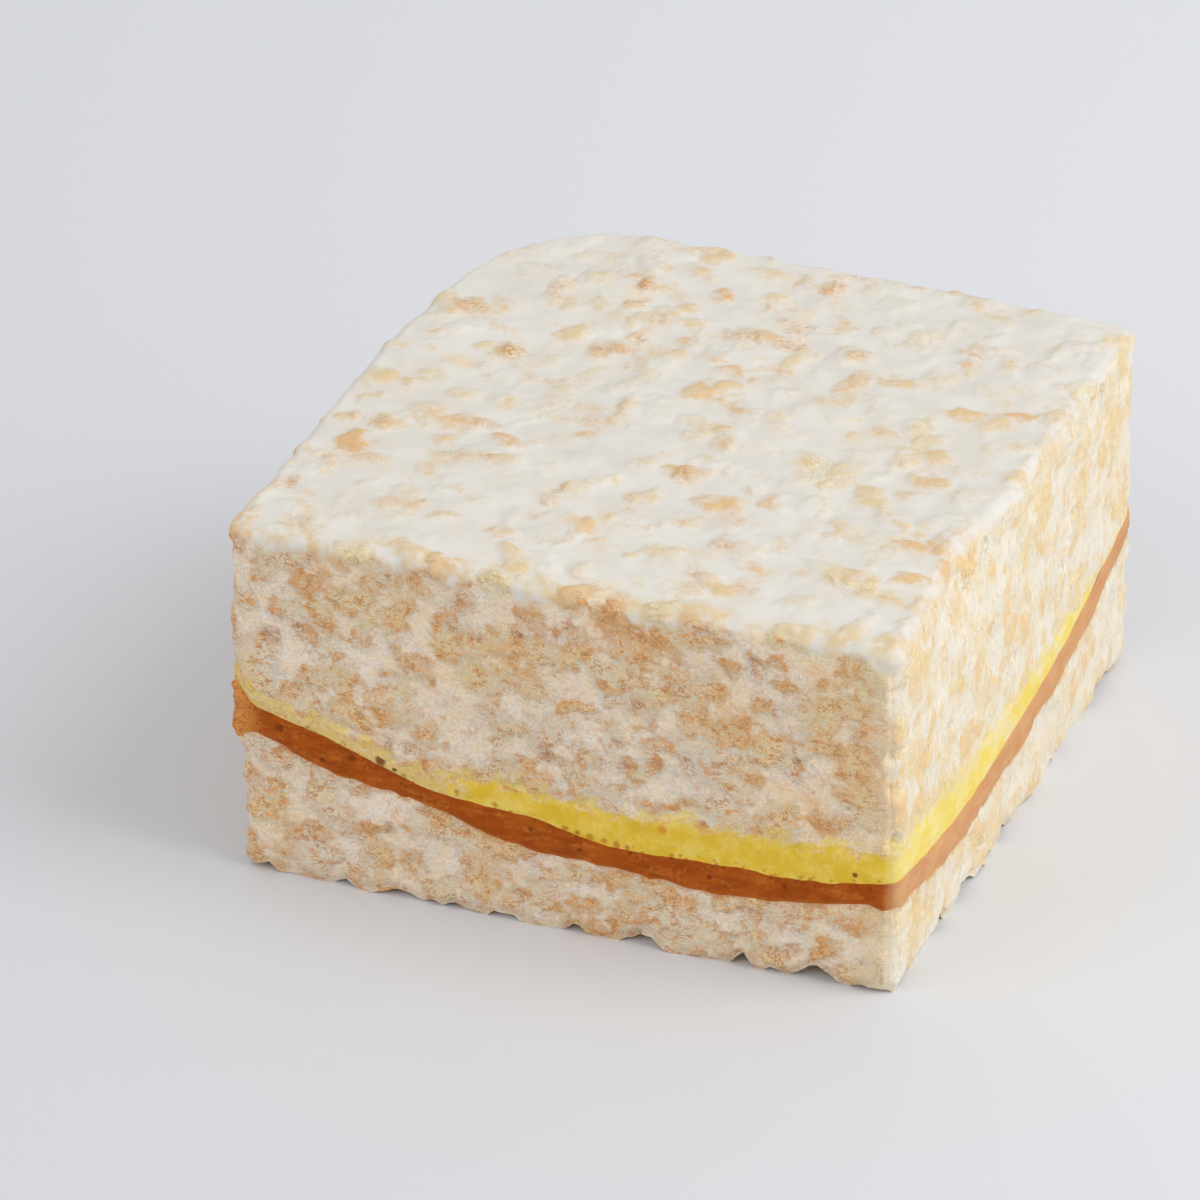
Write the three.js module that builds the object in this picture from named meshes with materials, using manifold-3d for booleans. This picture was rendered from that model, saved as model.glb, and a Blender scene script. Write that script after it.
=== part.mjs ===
// A crispy rice treat, cut square: a thick layer of puffed rice bound with marshmallow,
// a spongy yellow marshmallow layer, a dished caramel layer and a thin rice layer below.
// Millimetres. X runs along the front face, Y to the back, Z up; the origin is the
// middle of the footprint, on the surface that the treat rests on.
import * as THREE from 'three';
import { mergeVertices } from 'three/addons/utils/BufferGeometryUtils.js';
import Module from 'manifold-3d';

const wasm = await Module();
wasm.setup();

// Driving dimensions of the cut block.
const WIDTH = 76;
const DEPTH = 78;
const HEIGHT = 42.6;
const CUT_CORNER_RADIUS = 1.8;
const PAN_CORNER_RADIUS = 20;
const TOP_EDGE_RADIUS = 1.3;
const BOTTOM_EDGE_RADIUS = 0.9;
const LAYER_GAP = 0.1;

// The caramel lies in a shallow dish: lowest at DISH, higher towards the edges.
const DISH = { x: 14, y: -8, height: 7.4, riseX: 9.7, riseY: 6.8, reachX: 52, reachY: 47 };
const CARAMEL = { thickness: 3.3, thinning: 0.012, ripple: 0.65, rippleLength: 22, bulge: 0.45 };
const CORNER_LUMP = { reach: 4.5, height: 1.9, bulge: 0.9 };
const YELLOW = { thickness: 1.1, swell: 5.3, x: 26, y: -14, reachX: 36, reachY: 34, bulge: 0.1 };

// Unevenness of the faces: how far they lean in or out, and at which place.
const LEFT_BULGE = { out: 0.9, y: -20, reachY: 17, z: 27, reachZ: 13 };
const LEFT_TAPER = { inward: 1.5, from: 2, to: 22 };
const BACK_BULGE = { out: 0.9, x: 14, reachX: 14 };
const RIGHT_DIP = { inward: 1.9, y: -18, reachY: 10, from: 30, to: HEIGHT };
const BASE_INSET = 0.9;
const ROUGHNESS = 0.28;
const TOP_SWELL = 0.35;

// Puffed rice grains that stand out of the surface, and how far apart they lie.
const GRAIN = { length: 6.2, width: 3.7, height: 3.1, variation: 0.18, tilt: 0.4 };
const GRAIN_PLACES = { scatter: 0.3, fromCorner: 4 };
const TOP_GRAINS = { pitch: 8.4, proud: 1.05, margin: 4 };
const UPPER_GRAINS = { rows: 3, pitch: 13, proud: 0.8, above: 3.4, below: 2.6 };
const LOWER_GRAINS = { rows: 1, pitch: 12, proud: 0.7, above: 2.6, below: 3.3 };
const BOTTOM_PITS = { count: 14, radius: 2.2, spread: 0.8 };

// Materials: colour, roughness and metalness of each layer.
const RICE_LOOK = { color: 0xe2d3b8, roughness: 0.72, metalness: 0 };
const YELLOW_LOOK = { color: 0xdcc53a, roughness: 0.6, metalness: 0 };
const CARAMEL_LOOK = { color: 0xa4561e, roughness: 0.38, metalness: 0 };

// A repeatable draw of numbers from 0 to 1, so that every run gives the same treat.
function seededDraw(seed) {
  let state = seed;
  return () => {
    state = (state + 0x6d2b79f5) | 0;
    let mixed = Math.imul(state ^ (state >>> 15), 1 | state);
    mixed = (mixed + Math.imul(mixed ^ (mixed >>> 7), 61 | mixed)) ^ mixed;
    return ((mixed ^ (mixed >>> 14)) >>> 0) / 4294967296;
  };
}

const UP = new THREE.Vector3(0, 0, 1);
const around = (draw) => 2 * draw() - 1;
const hump = (value, middle, reach) => Math.exp(-(((value - middle) / reach) ** 2));
const { smoothstep, lerp } = THREE.MathUtils;

// ---- The outline: four straight sides, three corners cut sharp and one rounded by the pan.

// Corners counterclockwise from the front right, each followed by the side after it.
const CORNERS = [
  { x: 1, y: -1, radius: CUT_CORNER_RADIUS, arcSteps: 2, sideSteps: 20 },
  { x: 1, y: 1, radius: CUT_CORNER_RADIUS, arcSteps: 2, sideSteps: 17 },
  { x: -1, y: 1, radius: PAN_CORNER_RADIUS, arcSteps: 8, sideSteps: 17 },
  { x: -1, y: -1, radius: CUT_CORNER_RADIUS, arcSteps: 2, sideSteps: 20 },
];

function arcPoint(corner, angle) {
  const normal = new THREE.Vector2(Math.cos(angle), Math.sin(angle));
  const centre = new THREE.Vector2(
    corner.x * (WIDTH / 2 - corner.radius),
    corner.y * (DEPTH / 2 - corner.radius),
  );
  return { at: centre.addScaledVector(normal, corner.radius), normal };
}

function outline() {
  const points = [];
  CORNERS.forEach((corner, index) => {
    const next = CORNERS[(index + 1) % CORNERS.length];
    const start = (index - 1) * (Math.PI / 2);
    const end = start + Math.PI / 2;
    for (let step = 0; step < corner.arcSteps; step += 1) {
      points.push(arcPoint(corner, lerp(start, end, step / corner.arcSteps)));
    }
    const from = arcPoint(corner, end);
    const to = arcPoint(next, end);
    for (let step = 0; step < corner.sideSteps; step += 1) {
      const at = from.at.clone().lerp(to.at, step / corner.sideSteps);
      points.push({ at, normal: from.normal });
    }
  });
  return points;
}

const OUTLINE = outline();

// ---- Heights of the layers' faces over a point of the plan.

function cornerLump(x, y) {
  return Math.exp(-((x + WIDTH / 2) ** 2 + (y + DEPTH / 2) ** 2) / CORNER_LUMP.reach ** 2);
}

function caramelMiddle(x, y) {
  const alongX = DISH.riseX * ((x - DISH.x) / DISH.reachX) ** 2;
  const alongY = DISH.riseY * ((y - DISH.y) / DISH.reachY) ** 2;
  return DISH.height + alongX + alongY;
}

function caramelThickness(x, y) {
  const ripple = Math.cos((2 * Math.PI * (x + 4 + 0.3 * (y + DEPTH / 2))) / CARAMEL.rippleLength);
  const layer = CARAMEL.thickness - CARAMEL.thinning * x + CARAMEL.ripple * ripple;
  return layer + 2 * CORNER_LUMP.height * cornerLump(x, y);
}

const caramelBottom = (x, y) => caramelMiddle(x, y) - caramelThickness(x, y) / 2;
const caramelTop = (x, y) => caramelMiddle(x, y) + caramelThickness(x, y) / 2;

const yellowBottom = (x, y) => caramelTop(x, y) + LAYER_GAP;

function yellowTop(x, y) {
  const alongY = Math.exp(-(((y - YELLOW.y) / YELLOW.reachY) ** 4));
  const swell = hump(x, YELLOW.x, YELLOW.reachX) * alongY;
  return yellowBottom(x, y) + YELLOW.thickness + YELLOW.swell * swell;
}

function treatTop(x, y) {
  const swell = Math.sin(x / 7.5 + 1.1) * Math.cos(y / 8.5) + Math.sin(x / 15 - y / 11);
  return HEIGHT + (TOP_SWELL / 2) * swell;
}

// ---- How far each side face stands out of the plain outline at a height.

function riceBulge({ at, normal }, z) {
  const swell = hump(at.y, LEFT_BULGE.y, LEFT_BULGE.reachY) * hump(z, LEFT_BULGE.z, LEFT_BULGE.reachZ);
  const taper = smoothstep(at.y, LEFT_TAPER.from, LEFT_TAPER.to);
  const left = LEFT_BULGE.out * swell - LEFT_TAPER.inward * taper;
  const back = BACK_BULGE.out * hump(at.x, BACK_BULGE.x, BACK_BULGE.reachX);
  const sunk = hump(at.y, RIGHT_DIP.y, RIGHT_DIP.reachY) * smoothstep(z, RIGHT_DIP.from, RIGHT_DIP.to);
  const right = -RIGHT_DIP.inward * sunk;
  return Math.max(0, -normal.x) * left + Math.max(0, normal.y) * back + Math.max(0, normal.x) * right;
}

function baseBulge(point, z) {
  return riceBulge(point, z) - Math.max(0, -point.normal.x) * BASE_INSET;
}

// ---- Closed solids as stacks of rings, from the bottom's middle to the top's middle.

const INNER_RINGS = [
  { scale: 0.93, every: 2 },
  { scale: 0.66, every: 4 },
  { scale: 0.33, every: 8 },
];
const TOP_RINGS = [
  { scale: 0.94, every: 1 },
  { scale: 0.82, every: 2 },
  { scale: 0.68, every: 2 },
  { scale: 0.54, every: 4 },
  { scale: 0.38, every: 4 },
  { scale: 0.2, every: 8 },
];

function innerRing({ scale, every }, height) {
  const ring = [];
  for (let index = 0; index < OUTLINE.length; index += every) {
    const { x, y } = OUTLINE[index].at.clone().multiplyScalar(scale);
    ring.push(new THREE.Vector3(x, y, height(x, y)));
  }
  return ring;
}

// A ring near the side face: out is the distance past the outline, height the Z there.
function sideRing(out, height) {
  return OUTLINE.map((point) => {
    const z = height(point.at.x, point.at.y);
    const at = point.at.clone().addScaledVector(point.normal, out(point, z));
    return new THREE.Vector3(at.x, at.y, z);
  });
}

const pole = (height) => [new THREE.Vector3(0, 0, height(0, 0))];

// Triangles between two rings of equal, doubled or halved count, or a ring and a pole.
function stitch(lower, upper, faces) {
  const count = Math.max(lower.count, upper.count);
  const vertex = (ring, step) => ring.start + (Math.floor((step * ring.count) / count) % ring.count);
  const rounded = (ring, step) => ring.start + (Math.ceil((step * ring.count) / count) % ring.count);
  for (let step = 0; step < count; step += 1) {
    const low = vertex(lower, step);
    const lowNext = rounded(lower, step + 1);
    const high = vertex(upper, step);
    const highNext = rounded(upper, step + 1);
    const halved = lower.count !== upper.count && Math.min(lower.count, upper.count) > 1;
    if (halved && step % 2 === 1) {
      if (lower.count > upper.count) faces.push(low, lowNext, highNext);
      else faces.push(high, lowNext, highNext);
      continue;
    }
    if (halved && lower.count > upper.count) faces.push(low, lowNext, high, lowNext, highNext, high);
    else if (halved) faces.push(low, lowNext, highNext, low, highNext, high);
    else {
      if (lower.count > 1) faces.push(low, lowNext, upper.count > 1 ? highNext : high);
      if (upper.count > 1) faces.push(low, highNext, high);
    }
  }
}

function ringSolid(rings) {
  const positions = [];
  const faces = [];
  const placed = rings.map((ring) => {
    const start = positions.length / 3;
    ring.forEach((point) => positions.push(point.x, point.y, point.z));
    return { start, count: ring.length };
  });
  for (let index = 1; index < placed.length; index += 1) {
    stitch(placed[index - 1], placed[index], faces);
  }
  const geometry = new THREE.BufferGeometry();
  geometry.setAttribute('position', new THREE.Float32BufferAttribute(positions, 3));
  geometry.setIndex(faces);
  return geometry;
}

const underside = (height) => [
  pole(height),
  ...INNER_RINGS.map((ring) => innerRing(ring, height)).reverse(),
];
const topside = (height) => [...INNER_RINGS.map((ring) => innerRing(ring, height)), pole(height)];

// A small uneven offset for each point of a ring.
function roughened(out, draw) {
  return (point, z) => out(point, z) + ROUGHNESS * around(draw);
}

// ---- Solids joined and cut.

function toManifold(geometry) {
  const bare = geometry.clone();
  bare.deleteAttribute('normal');
  bare.deleteAttribute('uv');
  const merged = mergeVertices(bare, 1e-4);
  return new wasm.Manifold(new wasm.Mesh({
    numProp: 3,
    vertProperties: new Float32Array(merged.attributes.position.array),
    triVerts: new Uint32Array(merged.index.array),
  }));
}

function toGeometry(manifold) {
  const { vertProperties, triVerts } = manifold.getMesh();
  const geometry = new THREE.BufferGeometry();
  geometry.setAttribute('position', new THREE.BufferAttribute(vertProperties, 3));
  geometry.setIndex(new THREE.BufferAttribute(triVerts, 1));
  return geometry;
}

// One puffed grain, half sunk, its length lying in the face and turned by an angle.
function grainOn(place, outward, angle, proud, draw) {
  const size = (base) => (base / 2) * (1 + GRAIN.variation * around(draw));
  const length = size(GRAIN.length);
  const width = size(GRAIN.width);
  const height = size(GRAIN.height);
  const stands = proud * (1 + 1.5 * GRAIN.variation * around(draw));
  const turn = new THREE.Quaternion().setFromAxisAngle(UP, angle);
  const face = new THREE.Quaternion().setFromUnitVectors(UP, outward);
  const centre = place.clone().addScaledVector(outward, stands - height);
  return new THREE.SphereGeometry(1, 6, 4)
    .scale(width, length, height)
    .applyQuaternion(face.multiply(turn))
    .translate(centre.x, centre.y, centre.z);
}

// Grains over the top face, on a square lattice with each place moved at random.
function topGrains(draw) {
  const grains = [];
  const half = { x: WIDTH / 2 - TOP_GRAINS.margin, y: DEPTH / 2 - TOP_GRAINS.margin };
  const columns = Math.round((2 * half.x) / TOP_GRAINS.pitch);
  const rows = Math.round((2 * half.y) / TOP_GRAINS.pitch);
  const shift = GRAIN_PLACES.scatter * TOP_GRAINS.pitch;
  const pan = PAN_CORNER_RADIUS - TOP_GRAINS.margin;
  for (let row = 0; row <= rows; row += 1) {
    for (let column = 0; column <= columns; column += 1) {
      const x = lerp(-half.x, half.x, column / columns) + shift * around(draw);
      const y = lerp(-half.y, half.y, row / rows) + shift * around(draw);
      const fromPan = Math.hypot(x + half.x - pan, y - half.y + pan);
      const offCorner = x < -half.x + pan && y > half.y - pan && fromPan > pan;
      const place = new THREE.Vector3(x, y, treatTop(x, y));
      const grain = grainOn(place, UP, Math.PI * draw(), TOP_GRAINS.proud, draw);
      const onTop = Math.abs(x) < half.x + 1 && Math.abs(y) < half.y + 1;
      if (onTop && !offCorner) grains.push(grain);
    }
  }
  return grains;
}

function nearCutCorner({ x, y }) {
  const reach = GRAIN_PLACES.fromCorner;
  const panCorner = x < 0 && y > 0;
  return !panCorner && Math.abs(x) > WIDTH / 2 - reach && Math.abs(y) > DEPTH / 2 - reach;
}

// Grains in rows round a layer's side, lying nearly level between two heights.
function sideGrains({ rows, pitch, proud, above, below }, lowest, highest, bulge, draw) {
  const grains = [];
  const perRow = Math.round((2 * (WIDTH + DEPTH)) / pitch);
  for (let row = 0; row < rows; row += 1) {
    for (let place = 0; place < perRow; place += 1) {
      const along = (place + (row % 2) / 2 + GRAIN_PLACES.scatter * around(draw)) / perRow;
      const point = OUTLINE[Math.floor(((along + 1) % 1) * OUTLINE.length)];
      const low = lowest(point.at.x, point.at.y) + above;
      const high = highest(point.at.x, point.at.y) - below;
      const z = lerp(low, high, (row + 0.5 + GRAIN_PLACES.scatter * around(draw)) / rows);
      const at = point.at.clone().addScaledVector(point.normal, bulge(point, z));
      const outward = new THREE.Vector3(point.normal.x, point.normal.y, 0);
      const level = Math.atan2(outward.y, outward.x) + GRAIN.tilt * around(draw);
      const grain = grainOn(new THREE.Vector3(at.x, at.y, z), outward, level, proud, draw);
      if (high > low && !nearCutCorner(point.at)) grains.push(grain);
    }
  }
  return grains;
}

// Small hollows where grains broke away along the bottom edge.
function bottomPits(draw) {
  const pits = [];
  for (let index = 0; index < BOTTOM_PITS.count; index += 1) {
    const along = (index + 0.35 * around(draw)) / BOTTOM_PITS.count;
    const point = OUTLINE[Math.floor(((along + 1) % 1) * OUTLINE.length)];
    const radius = BOTTOM_PITS.radius * (1 + 0.3 * around(draw));
    const out = baseBulge(point, 0) + BOTTOM_PITS.spread * around(draw);
    const at = point.at.clone().addScaledVector(point.normal, out);
    pits.push(new THREE.SphereGeometry(radius, 7, 4)
      .scale(1, 1, 0.8)
      .rotateX(0.4 * around(draw))
      .rotateZ(Math.PI * draw())
      .translate(at.x, at.y, -0.1));
  }
  return pits;
}

const joined = (solid, pieces) => pieces.reduce((sum, piece) => sum.add(toManifold(piece)), solid);
const cut = (solid, pieces) => pieces.reduce((rest, piece) => rest.subtract(toManifold(piece)), solid);

// ---- The four layers.

function lowerRiceLayer() {
  const draw = seededDraw(11);
  const top = (x, y) => caramelBottom(x, y) - LAYER_GAP;
  const ground = () => 0;
  const rim = roughened(baseBulge, draw);
  const rings = [
    ...underside(ground),
    sideRing((point, z) => rim(point, z) - BOTTOM_EDGE_RADIUS, ground),
    sideRing(rim, () => BOTTOM_EDGE_RADIUS),
    sideRing(rim, (x, y) => lerp(BOTTOM_EDGE_RADIUS, top(x, y), 0.55)),
    sideRing(riceBulge, top),
    ...topside(top),
  ];
  const grains = sideGrains(LOWER_GRAINS, ground, top, baseBulge, draw);
  const solid = joined(toManifold(ringSolid(rings)), grains);
  return toGeometry(cut(solid, bottomPits(draw)));
}

// A thin layer between two others. Its edge stands out of the rice's faces by bulge,
// most in the middle of its thickness; shares are the heights at which the edge has rings.
function filling(bottom, top, bulge, shares) {
  const edge = shares.map((share) => sideRing(
    (point, z) => riceBulge(point, z) + bulge(point) * Math.sqrt(Math.sin(Math.PI * share)),
    (x, y) => lerp(bottom(x, y), top(x, y), share),
  ));
  return ringSolid([
    ...underside(bottom),
    sideRing(riceBulge, bottom),
    ...edge,
    sideRing(riceBulge, top),
    ...topside(top),
  ]);
}

function caramelBulge({ at }) {
  return CARAMEL.bulge + CORNER_LUMP.bulge * cornerLump(at.x, at.y);
}

function upperRiceLayer() {
  const draw = seededDraw(29);
  const bottom = (x, y) => yellowTop(x, y) + LAYER_GAP;
  const shoulder = (x, y) => treatTop(x, y) - TOP_EDGE_RADIUS;
  const roundedEdge = (x, y) => treatTop(x, y) - 0.3 * TOP_EDGE_RADIUS;
  const rim = roughened(riceBulge, draw);
  const rows = [0.25, 0.5, 0.75, 1].map((share) => (
    sideRing(rim, (x, y) => lerp(bottom(x, y), shoulder(x, y), share))
  ));
  const rings = [
    ...underside(bottom),
    sideRing(riceBulge, bottom),
    ...rows,
    sideRing((point, z) => rim(point, z) - 0.3 * TOP_EDGE_RADIUS, roundedEdge),
    sideRing((point, z) => rim(point, z) - TOP_EDGE_RADIUS, treatTop),
    ...TOP_RINGS.map((ring) => innerRing(ring, treatTop)),
    pole(treatTop),
  ];
  const grains = [
    ...topGrains(draw),
    ...sideGrains(UPPER_GRAINS, bottom, shoulder, riceBulge, draw),
  ];
  return toGeometry(joined(toManifold(ringSolid(rings)), grains));
}

// ---- The treat.

function layer(name, geometry, look) {
  const mesh = new THREE.Mesh(geometry, new THREE.MeshStandardMaterial(look));
  mesh.name = name;
  return mesh;
}

const caramelGeometry = filling(caramelBottom, caramelTop, caramelBulge, [0.15, 0.5, 0.85]);
const yellowGeometry = filling(yellowBottom, yellowTop, () => YELLOW.bulge, [0.5]);

const treat = new THREE.Group();
treat.add(layer('rice_lower_layer', lowerRiceLayer(), RICE_LOOK));
treat.add(layer('caramel_layer', caramelGeometry, CARAMEL_LOOK));
treat.add(layer('yellow_marshmallow_layer', yellowGeometry, YELLOW_LOOK));
treat.add(layer('rice_upper_layer', upperRiceLayer(), RICE_LOOK));

export default treat;
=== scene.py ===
"""A square-cut crispy rice treat with a caramel layer and a yellow marshmallow layer."""
import itertools
import math

import bmesh
import bpy
import numpy as np
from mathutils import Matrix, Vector


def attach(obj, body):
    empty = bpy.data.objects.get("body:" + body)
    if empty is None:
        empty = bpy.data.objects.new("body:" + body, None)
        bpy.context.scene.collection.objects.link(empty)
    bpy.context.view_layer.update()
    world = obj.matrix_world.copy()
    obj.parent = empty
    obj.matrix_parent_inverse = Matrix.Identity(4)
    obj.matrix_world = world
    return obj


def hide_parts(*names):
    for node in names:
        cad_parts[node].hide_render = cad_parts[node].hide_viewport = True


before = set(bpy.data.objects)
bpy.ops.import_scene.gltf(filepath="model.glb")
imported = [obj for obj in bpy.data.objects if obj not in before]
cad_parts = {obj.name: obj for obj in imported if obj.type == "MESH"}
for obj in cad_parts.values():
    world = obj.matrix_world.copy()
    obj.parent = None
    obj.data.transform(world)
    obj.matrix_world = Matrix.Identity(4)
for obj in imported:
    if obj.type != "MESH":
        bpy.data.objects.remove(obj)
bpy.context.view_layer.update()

# ---- Sizes in millimetres. X runs along the front face, Y to the back, Z up.
MM = 0.001
WIDTH, DEPTH, HEIGHT = 76.0, 78.0, 42.6
CUT_CORNER, PAN_CORNER = 1.8, 20.0
TOP_EDGE = 1.3

# Seeds of all that is drawn at random.
FINE_SEED, BROAD_SEED, GRAIN_SEED = 3, 5, 7

# Into how many columns each side of a piece is divided, and its walls into how many rows.
COLUMNS, TOP_LINES = 270, 276
ROWS = dict(upper_rice=82, marshmallow_film=16, yellow_marshmallow=20, caramel=18, lower_rice=44)
# The rings that close the ends of a piece, each as a share of the one before.
RINGS, TOP_RINGS = (0.97, 0.9, 0.7, 0.4), (0.94, 0.7, 0.4)
BASE_RINGS = (0.985, 0.97, 0.95, 0.92, 0.88, 0.7, 0.4)

# The caramel lies in a shallow dish; the yellow marshmallow swells at the front right.
DISH = dict(x=14.0, y=-8.0, height=7.4, rise_x=9.7, rise_y=6.8, reach_x=52.0, reach_y=47.0)
CARAMEL = dict(thickness=3.3, thinning=0.012, ripple=0.65, ripple_length=22.0, bulge=0.25)
# The caramel's lump at the front left corner, and where along the front it is thinner.
LUMP = dict(reach=1.5, height=2.6, bulge=0.1, rough=0.8)
SLIM = dict(x=-19.0, reach=8.0, by=0.4, end_x=34.0, end_reach=4.0, end_by=0.45)
# Near the right face it lies higher, from the middle to the back, and is a little thicker.
RIGHT_LIFT = dict(start=20.0, middle=1.0, back=1.0, thicker=0.3)
YELLOW = dict(thickness=1.1, swell=5.3, x=26.0, y=-14.0, reach_x=36.0, reach_y=34.0,
              thinner=0.3, thinnest=0.12)
RAGGED_SEAM = 0.4
# Distances that stand for a seam that a piece doesn't have, and for a place far below the top.
AWAY, DEEP = 9.0, 20.0

# How far the cut faces lean out or in, and where.
LEFT_BULGE = dict(out=0.9, y=-20.0, reach_y=17.0, z=27.0, reach_z=13.0)
LEFT_TAPER = dict(inward=1.5, start=2.0, end=22.0)
BACK_BULGE = dict(out=0.9, x=14.0, reach=14.0)
RIGHT_DIP = dict(inward=1.9, y=-18.0, reach=10.0, start=30.0)
BASE_INSET = 0.9
TOP_SWELL = 0.35

# Puffed grains packed through the rice: half sizes, spacing, and how far in they are kept.
GRAIN_HALF = (3.2, 2.0, 1.5)
GRAIN_PITCH = (4.3, 4.3, 2.7)
GRAIN_SHELL = 5.0
GRAIN_TILT, GRAIN_ROLL = 0.3, 0.6
# The way, on average, in which a grain's most toasted side faces; the brown band that the finish draws
# on that side of the grains is partly painted shade.
GRAIN_LEAN = (-0.5, 1.6, 1.0)

# Grains that catch the eye on top: x, y, half length, half width, turn in degrees, how much
# they show, and how toasted they are, from pale yellow at 0 to reddish at 1.
TOP_LANDMARKS = (
    (-6.6, 28.2, 2.3, 1.5, -20, 1.2, 0.9), (33.1, 13.4, 2.7, 1.8, 10, 1.1, 0.8),
    (27.2, 11.6, 2.7, 1.9, 0, 1.0, 0.6), (4.4, 11.3, 2.2, 1.6, 20, 1.0, 0.6),
    (2.0, 5.1, 2.3, 1.9, 30, 1.0, 0.6), (7.2, -28.4, 4.2, 2.9, 20, 0.75, 0.4),
    (28.3, -26.0, 2.8, 2.0, 0, 0.9, 0.5), (1.0, -18.0, 3.0, 2.2, 10, 0.9, 0.5),
    (-34.2, -7.0, 2.2, 1.4, 40, 1.0, 0.6), (-35.2, -11.7, 1.8, 1.2, 60, 1.0, 0.6),
    (-22.8, -13.5, 2.3, 1.1, -30, 1.1, 0.7), (-25.4, 7.9, 3.0, 2.1, 10, 0.6, 0.4),
    (-23.1, 20.1, 3.6, 2.3, 15, 0.5, 0.3), (-22.8, 31.6, 3.8, 2.6, 10, 0.6, 0.3),
    (10.9, 20.7, 3.8, 2.6, 0, 0.6, 0.4), (-4.9, 34.7, 3.6, 2.3, 10, 0.6, 0.4),
    (-12.1, 31.9, 3.2, 2.2, 0, 0.7, 0.5), (-30.1, -1.2, 3.4, 2.2, 50, 0.6, 0.4),
    (-1.8, -10.8, 3.4, 2.0, 15, 0.5, 0.3), (18.8, 16.4, 3.2, 2.0, 0, 0.8, 0.6),
    (-10.9, -15.6, 2.8, 1.8, 25, 0.7, 0.5), (-17.8, -30.0, 2.6, 1.3, 5, 0.9, 0.6),
    (-10.0, -30.5, 2.7, 1.2, -5, 0.9, 0.6), (-30.0, -20.0, 2.4, 1.6, 30, 0.7, 0.4),
)

# Grains that catch the eye on the front: x, z, then as above.
FRONT_LANDMARKS = (
    (-29.2, 36.9, 1.7, 1.4, 10, 1.1, 1.0), (-32.5, 33.6, 1.2, 1.1, 0, 0.8, 0.8),
    (-26.0, 40.6, 1.3, 0.8, -60, 1.0, 0.6), (-34.0, 38.2, 2.2, 1.1, 90, 0.8, 0.4),
    (-13.8, 41.8, 2.1, 1.3, 15, 1.0, 0.6), (-24.0, 41.9, 2.4, 1.5, 0, 0.9, 0.0),
    (-6.4, 41.9, 2.2, 1.2, 0, 0.9, 0.0), (-16.6, 39.2, 1.8, 1.5, 0, 0.8, 0.5),
    (-10.9, 40.6, 1.0, 0.6, 10, 1.0, 0.7), (-3.6, 37.9, 1.6, 1.3, 0, 0.7, 0.9),
    (-29.8, 30.9, 1.9, 1.1, -25, 0.8, 0.9), (-23.4, 31.7, 1.1, 0.9, 0, 0.8, 0.6),
    (-19.4, 27.7, 1.6, 0.7, -10, 1.0, 0.7), (-16.9, 29.6, 2.4, 1.3, -30, 0.7, 0.8),
    (-13.2, 35.8, 1.0, 0.8, 0, 1.0, 0.8), (1.6, 41.8, 2.1, 1.7, 0, 1.1, 0.6),
    (5.8, 40.4, 2.8, 0.8, -18, 1.0, 0.8), (10.9, 41.6, 2.6, 2.0, -20, 0.9, 0.05),
    (11.7, 38.0, 2.4, 1.1, -40, 1.1, 0.9), (18.0, 40.6, 1.7, 1.0, 10, 0.9, 0.5),
    (23.1, 38.2, 1.8, 0.7, -20, 1.1, 0.8), (19.7, 36.6, 1.4, 0.8, -5, 1.0, 0.9),
    (25.0, 35.7, 1.7, 0.7, -5, 1.1, 1.0), (23.2, 32.4, 1.7, 1.0, 0, 1.0, 0.7),
    (32.0, 39.3, 1.5, 1.1, 80, 0.9, 0.5), (35.5, 38.4, 2.4, 1.9, 90, 0.9, 0.05),
    (26.2, 41.6, 3.0, 1.1, 5, 0.8, 0.1), (12.2, 34.5, 1.7, 1.0, -50, 0.8, 0.5),
    (10.4, 22.9, 1.3, 0.8, 30, 1.2, 1.0), (1.5, 28.0, 2.5, 0.7, 25, 1.0, 0.6),
    (21.8, 23.4, 0.9, 0.7, 0, 1.0, 0.7), (14.5, 18.8, 1.8, 0.6, 20, 1.0, 0.7),
    (22.3, 18.6, 1.6, 1.3, 0, 0.9, 0.7), (35.4, 25.9, 1.4, 1.4, 0, 0.9, 0.8),
    (29.3, 20.2, 1.1, 0.5, 90, 1.1, 0.7), (32.9, 8.2, 1.3, 0.9, 0, 1.0, 0.9),
    (29.9, 4.5, 1.8, 0.9, 25, 1.0, 0.8), (2.7, 3.9, 1.7, 0.8, 0, 1.0, 0.8),
    (14.9, 6.3, 1.4, 1.2, 0, 0.9, 0.6), (-21.8, 7.9, 1.7, 0.7, 0, 1.0, 0.9),
    (-34.9, 11.9, 1.0, 0.8, 90, 0.9, 0.5), (-36.3, 3.4, 1.8, 0.9, 90, 1.0, 0.6),
    (-31.7, 2.8, 1.4, 0.9, 10, 0.9, 0.3),
)

# Small holes in the front: x, z, half length, half height, turn in degrees.
FRONT_PITS = (
    (-26.1, 34.9, 0.8, 0.6, 0), (-29.8, 31.0, 1.3, 0.6, -25), (-9.2, 34.0, 0.6, 0.5, 0),
    (8.5, 29.9, 1.2, 0.9, 0), (6.5, 24.6, 0.6, 0.5, 0), (7.4, 21.9, 0.7, 0.5, -40),
    (-7.5, 21.8, 1.0, 0.8, 0), (-17.5, 18.9, 1.0, 1.0, 0), (19.5, 3.4, 0.9, 0.6, 0),
    (21.4, 6.9, 1.6, 0.8, -10), (24.3, 2.6, 1.1, 1.0, 0), (-15.4, 11.4, 1.0, 0.7, 0),
    (-4.8, 3.3, 1.1, 0.6, 0), (-5.0, 35.4, 0.6, 0.5, 0), (10.6, 23.0, 0.6, 0.5, 0),
)

# The marshmallow film: it hangs over the edges unevenly, lower at these places of the front.
FILM = dict(skirt=5.0, dive=3.9, core_below=1.5, drape=1.0, drape_change=1.9, thickness=0.12)
FRONT_DRIPS = (-26.0, -18.0, -12.6, -3.5, 9.0, 36.0)

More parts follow.
